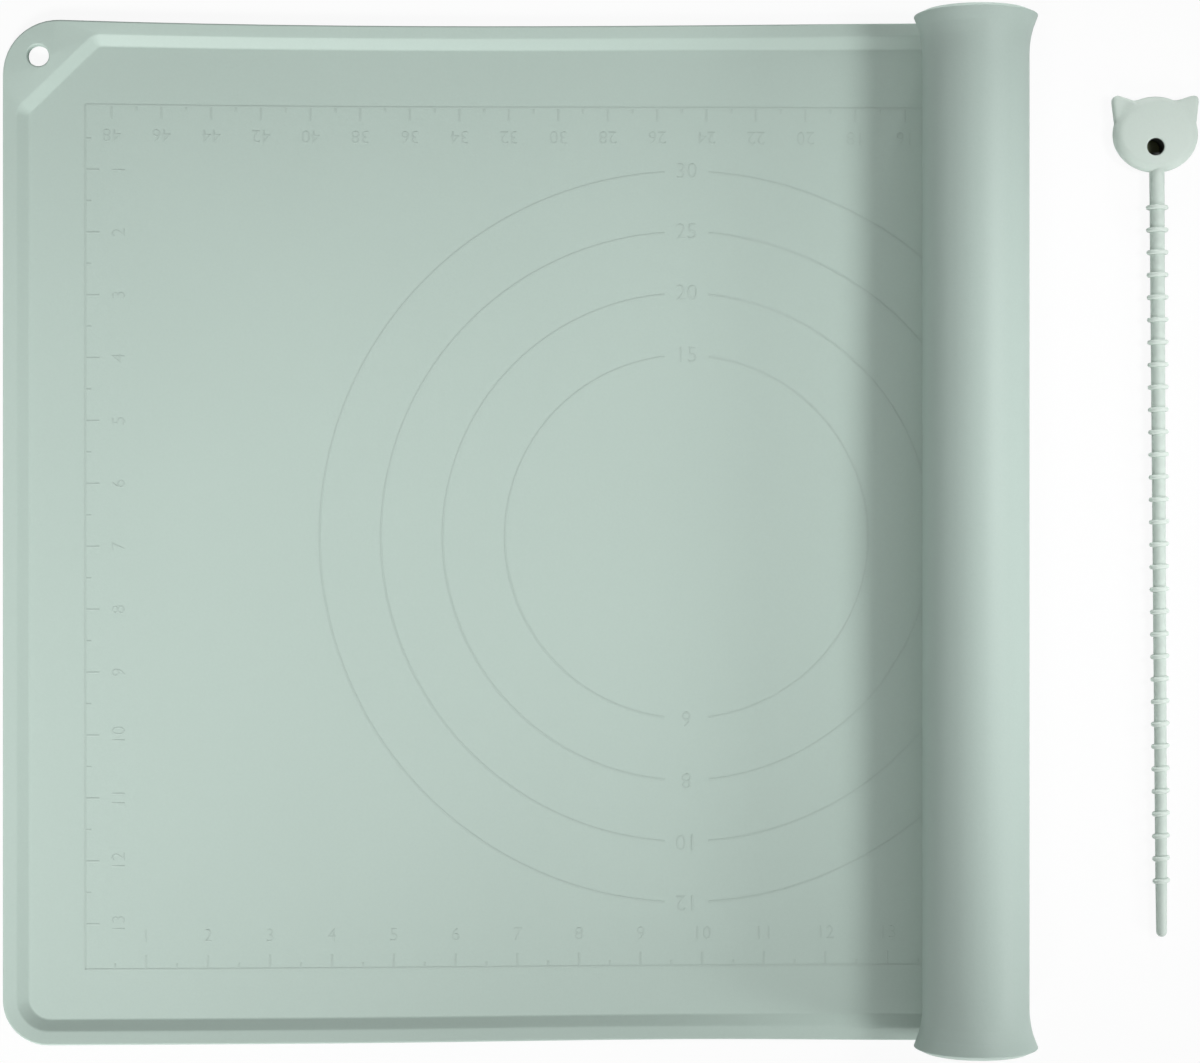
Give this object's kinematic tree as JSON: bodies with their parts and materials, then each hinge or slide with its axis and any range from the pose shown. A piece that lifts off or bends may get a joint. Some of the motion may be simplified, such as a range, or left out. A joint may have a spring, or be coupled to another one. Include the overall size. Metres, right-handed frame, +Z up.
{
  "type": "silicone baking mat",
  "caption": "Flat silicone mat with a raised rim, a hanging hole and a rolled-up end that unrolls, with its separate ribbed strap tie.",
  "frame": {"origin": "on the table, at the middle of the rectangle that the mat, its roll and the tie take up", "axes": "+X along the mat towards its rolled end, +Y across the mat towards the hanging hole's side, +Z up"},
  "size_m": [0.4914, 0.42, 0.0528],
  "materials": {
    "mat_silicone": "matte sage green silicone",
    "tie_silicone": "matte pale sage silicone"
  },
  "bodies": {
    "mat": {"mat_bed": "mat_silicone"},
    "strip_01": {"roll_strip_01": "mat_silicone"},
    "strip_02": {"roll_strip_02": "mat_silicone"},
    "strip_03": {"roll_strip_03": "mat_silicone"},
    "strip_04": {"roll_strip_04": "mat_silicone"},
    "strip_05": {"roll_strip_05": "mat_silicone"},
    "strip_06": {"roll_strip_06": "mat_silicone"},
    "strip_07": {"roll_strip_07": "mat_silicone"},
    "strip_08": {"roll_strip_08": "mat_silicone"},
    "strip_09": {"roll_strip_09": "mat_silicone"},
    "strip_10": {"roll_strip_10": "mat_silicone"},
    "strip_11": {"roll_strip_11": "mat_silicone"},
    "strip_12": {"roll_strip_12": "mat_silicone"},
    "tie": {"tie": "tie_silicone"}
  },
  "joints": [
    {"name": "unroll_01", "type": "hinge", "parent": "mat", "child": "strip_01", "pos_m": [0.15445, 0, 0.00094], "axis": [0, 1, 0], "range_deg": [0, 30]},
    {"name": "unroll_02", "type": "hinge", "parent": "strip_01", "child": "strip_02", "pos_m": [0.1667, 0, 0.00801], "axis": [0, 1, 0], "range_deg": [0, 30]},
    {"name": "unroll_03", "type": "hinge", "parent": "strip_02", "child": "strip_03", "pos_m": [0.17365, 0, 0.02005], "axis": [0, 1, 0], "range_deg": [0, 30]},
    {"name": "unroll_04", "type": "hinge", "parent": "strip_03", "child": "strip_04", "pos_m": [0.17365, 0, 0.03373], "axis": [0, 1, 0], "range_deg": [0, 30]},
    {"name": "unroll_05", "type": "hinge", "parent": "strip_04", "child": "strip_05", "pos_m": [0.16693, 0, 0.04538], "axis": [0, 1, 0], "range_deg": [0, 30]},
    {"name": "unroll_06", "type": "hinge", "parent": "strip_05", "child": "strip_06", "pos_m": [0.15548, 0, 0.05199], "axis": [0, 1, 0], "range_deg": [0, 30]},
    {"name": "unroll_07", "type": "hinge", "parent": "strip_06", "child": "strip_07", "pos_m": [0.14248, 0, 0.05199], "axis": [0, 1, 0], "range_deg": [0, 30]},
    {"name": "unroll_08", "type": "hinge", "parent": "strip_07", "child": "strip_08", "pos_m": [0.13143, 0, 0.04561], "axis": [0, 1, 0], "range_deg": [0, 30]},
    {"name": "unroll_09", "type": "hinge", "parent": "strip_08", "child": "strip_09", "pos_m": [0.12516, 0, 0.03475], "axis": [0, 1, 0], "range_deg": [0, 30]},
    {"name": "unroll_10", "type": "hinge", "parent": "strip_09", "child": "strip_10", "pos_m": [0.12516, 0, 0.02245], "axis": [0, 1, 0], "range_deg": [0, 30]},
    {"name": "unroll_11", "type": "hinge", "parent": "strip_10", "child": "strip_11", "pos_m": [0.1312, 0, 0.01199], "axis": [0, 1, 0], "range_deg": [0, 30]},
    {"name": "unroll_12", "type": "hinge", "parent": "strip_11", "child": "strip_12", "pos_m": [0.14146, 0, 0.00606], "axis": [0, 1, 0], "range_deg": [0, 30]},
    {"name": "tie_slide", "type": "slide", "parent": "mat", "child": "tie", "axis": [1, 0, 0], "range_m": [0, 0.12]}
  ],
  "couplings": [
    {"joint": "unroll_01", "follows": "tie_slide", "rad_per_m": 4.3633},
    {"joint": "unroll_02", "follows": "tie_slide", "rad_per_m": 4.3633},
    {"joint": "unroll_03", "follows": "tie_slide", "rad_per_m": 4.3633},
    {"joint": "unroll_04", "follows": "tie_slide", "rad_per_m": 4.3633},
    {"joint": "unroll_05", "follows": "tie_slide", "rad_per_m": 4.3633},
    {"joint": "unroll_06", "follows": "tie_slide", "rad_per_m": 4.3633},
    {"joint": "unroll_07", "follows": "tie_slide", "rad_per_m": 4.3633},
    {"joint": "unroll_08", "follows": "tie_slide", "rad_per_m": 4.3633},
    {"joint": "unroll_09", "follows": "tie_slide", "rad_per_m": 4.3633},
    {"joint": "unroll_10", "follows": "tie_slide", "rad_per_m": 4.3633},
    {"joint": "unroll_11", "follows": "tie_slide", "rad_per_m": 4.3633},
    {"joint": "unroll_12", "follows": "tie_slide", "rad_per_m": 4.3633}
  ]
}
